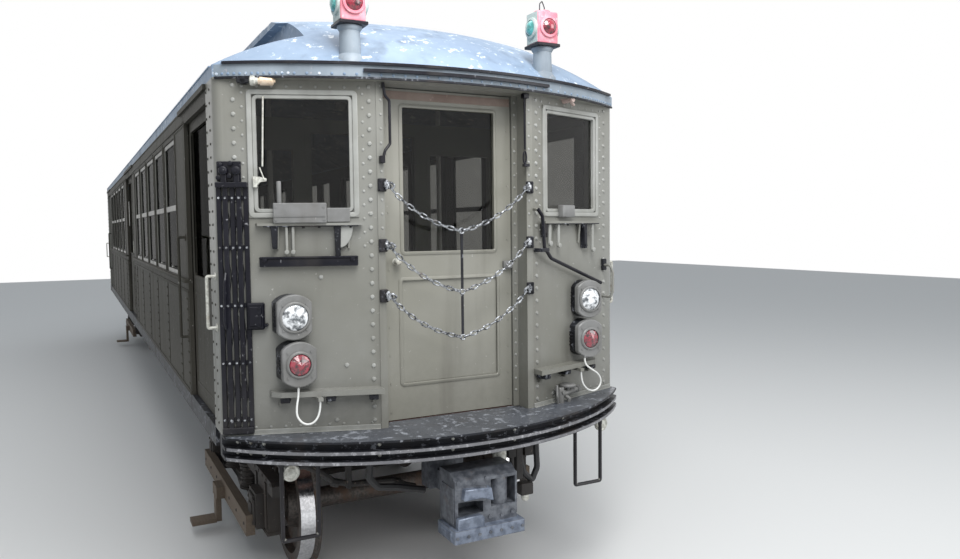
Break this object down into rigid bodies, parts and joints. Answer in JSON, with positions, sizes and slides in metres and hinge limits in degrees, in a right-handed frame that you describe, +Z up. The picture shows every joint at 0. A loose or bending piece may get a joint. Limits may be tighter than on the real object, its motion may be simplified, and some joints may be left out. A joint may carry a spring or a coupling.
{
  "type": "metro car",
  "caption": "Riveted steel metro rail car with bowed end walls, ribbed anticlimbers, raised roof deck, sliding side doors, hinged end doors and two swivelling trucks.",
  "frame": {"origin": "on the car's centre line, midway between its ends, level with the wheels' flange tips", "axes": "+Z up, the car runs along Y with the pictured end facing -Y, +X is to the right when looking at that end"},
  "size_m": [2.728, 15.56, 3.686],
  "materials": {
    "beam_wood": "weathered",
    "body_paint": "worn olive paint",
    "cable_white": "matt white",
    "cast_steel": "rough",
    "chain_steel": "galvanised",
    "floor_covering": "dull",
    "frame_black": "worn black paint",
    "gate_black": "worn black paint",
    "glass": "clear",
    "interior_paint": "semi gloss",
    "lamp_paint": "painted housing",
    "pole_enamel": "white enamel",
    "roof_paint": "weathered grey-green paint",
    "seat_rattan": "woven rattan",
    "truck_steel": "dusty black",
    "wheel_steel": "rolled steel"
  },
  "bodies": {
    "car_body": {"underframe": "frame_black", "floor": "floor_covering", "side_wall_left": "body_paint", "side_wall_right": "body_paint", "headers": "body_paint", "side_windows_left": "glass", "side_windows_right": "glass", "end_wall_front": "body_paint", "end_wall_rear": "body_paint", "end_windows": "glass", "roof": "roof_paint", "anticlimber_front": "frame_black", "anticlimber_rear": "frame_black", "end_lamps_front": "lamp_paint", "end_lamps_rear": "lamp_paint", "marker_lamps": "lamp_paint", "gate_front": "gate_black", "gate_rear": "gate_black", "chains_front": "chain_steel", "chains_rear": "chain_steel", "end_steps_front": "body_paint", "end_steps_rear": "body_paint", "coupler_front": "cast_steel", "coupler_rear": "cast_steel", "seats": "seat_rattan", "poles": "pole_enamel", "bulkheads": "interior_paint", "underfloor_gear": "frame_black", "cable_left": "cable_white", "cable_right": "cable_white"},
    "truck_front": {"truck_frame_front": "truck_steel", "truck_bolster_front": "truck_steel", "shoe_beams_front": "beam_wood"},
    "wheelset_front_a": {"wheelset_front_a": "wheel_steel"},
    "wheelset_front_b": {"wheelset_front_b": "wheel_steel"},
    "truck_rear": {"truck_frame_rear": "truck_steel", "truck_bolster_rear": "truck_steel", "shoe_beams_rear": "beam_wood", "traction_motors": "truck_steel"},
    "wheelset_rear_a": {"wheelset_rear_a": "wheel_steel"},
    "wheelset_rear_b": {"wheelset_rear_b": "wheel_steel"},
    "end_door_front_left": {"end_door_front_left": "body_paint"},
    "centre_door_front_left": {"centre_door_front_left": "body_paint"},
    "end_door_front_right": {"end_door_front_right": "body_paint"},
    "centre_door_front_right": {"centre_door_front_right": "body_paint"},
    "storm_door_front": {"storm_door_front": "body_paint"},
    "end_door_rear_left": {"end_door_rear_left": "body_paint"},
    "centre_door_rear_left": {"centre_door_rear_left": "body_paint"},
    "end_door_rear_right": {"end_door_rear_right": "body_paint"},
    "centre_door_rear_right": {"centre_door_rear_right": "body_paint"},
    "storm_door_rear": {"storm_door_rear": "body_paint"}
  },
  "joints": [
    {"name": "truck_front_swivel", "type": "hinge", "parent": "car_body", "child": "truck_front", "pos_m": [0, -5.486, 0.9], "axis": [0, 0, 1], "range_deg": [-7, 7]},
    {"name": "wheelset_front_a_spin", "type": "hinge", "parent": "truck_front", "child": "wheelset_front_a", "pos_m": [0, -6.326, 0.422], "axis": [1, 0, 0], "continuous": true},
    {"name": "wheelset_front_b_spin", "type": "hinge", "parent": "truck_front", "child": "wheelset_front_b", "pos_m": [0, -4.646, 0.422], "axis": [1, 0, 0], "continuous": true},
    {"name": "truck_rear_swivel", "type": "hinge", "parent": "car_body", "child": "truck_rear", "pos_m": [0, 5.486, 0.9], "axis": [0, 0, 1], "range_deg": [-7, 7]},
    {"name": "wheelset_rear_a_spin", "type": "hinge", "parent": "truck_rear", "child": "wheelset_rear_a", "pos_m": [0, 4.47, 0.46], "axis": [1, 0, 0], "continuous": true},
    {"name": "wheelset_rear_b_spin", "type": "hinge", "parent": "truck_rear", "child": "wheelset_rear_b", "pos_m": [0, 6.502, 0.46], "axis": [1, 0, 0], "continuous": true},
    {"name": "end_door_front_left_slide", "type": "slide", "parent": "car_body", "child": "end_door_front_left", "axis": [0, 1, 0], "range_m": [0, 0.96]},
    {"name": "centre_door_front_left_slide", "type": "slide", "parent": "car_body", "child": "centre_door_front_left", "axis": [0, -1, 0], "range_m": [0, 0.61]},
    {"name": "end_door_front_right_slide", "type": "slide", "parent": "car_body", "child": "end_door_front_right", "axis": [0, 1, 0], "range_m": [0, 0.96]},
    {"name": "centre_door_front_right_slide", "type": "slide", "parent": "car_body", "child": "centre_door_front_right", "axis": [0, -1, 0], "range_m": [0, 0.61]},
    {"name": "storm_door_front_hinge", "type": "hinge", "parent": "car_body", "child": "storm_door_front", "pos_m": [0.4215, -7.2448, 1.2], "axis": [0, 0, -1], "range_deg": [0, 90]},
    {"name": "end_door_rear_left_slide", "type": "slide", "parent": "car_body", "child": "end_door_rear_left", "axis": [0, -1, 0], "range_m": [0, 0.96]},
    {"name": "centre_door_rear_left_slide", "type": "slide", "parent": "car_body", "child": "centre_door_rear_left", "axis": [0, 1, 0], "range_m": [0, 0.61]},
    {"name": "end_door_rear_right_slide", "type": "slide", "parent": "car_body", "child": "end_door_rear_right", "axis": [0, -1, 0], "range_m": [0, 0.96]},
    {"name": "centre_door_rear_right_slide", "type": "slide", "parent": "car_body", "child": "centre_door_rear_right", "axis": [0, 1, 0], "range_m": [0, 0.61]},
    {"name": "storm_door_rear_hinge", "type": "hinge", "parent": "car_body", "child": "storm_door_rear", "pos_m": [-0.4215, 7.2448, 1.2], "axis": [0, 0, -1], "range_deg": [0, 90]}
  ]
}
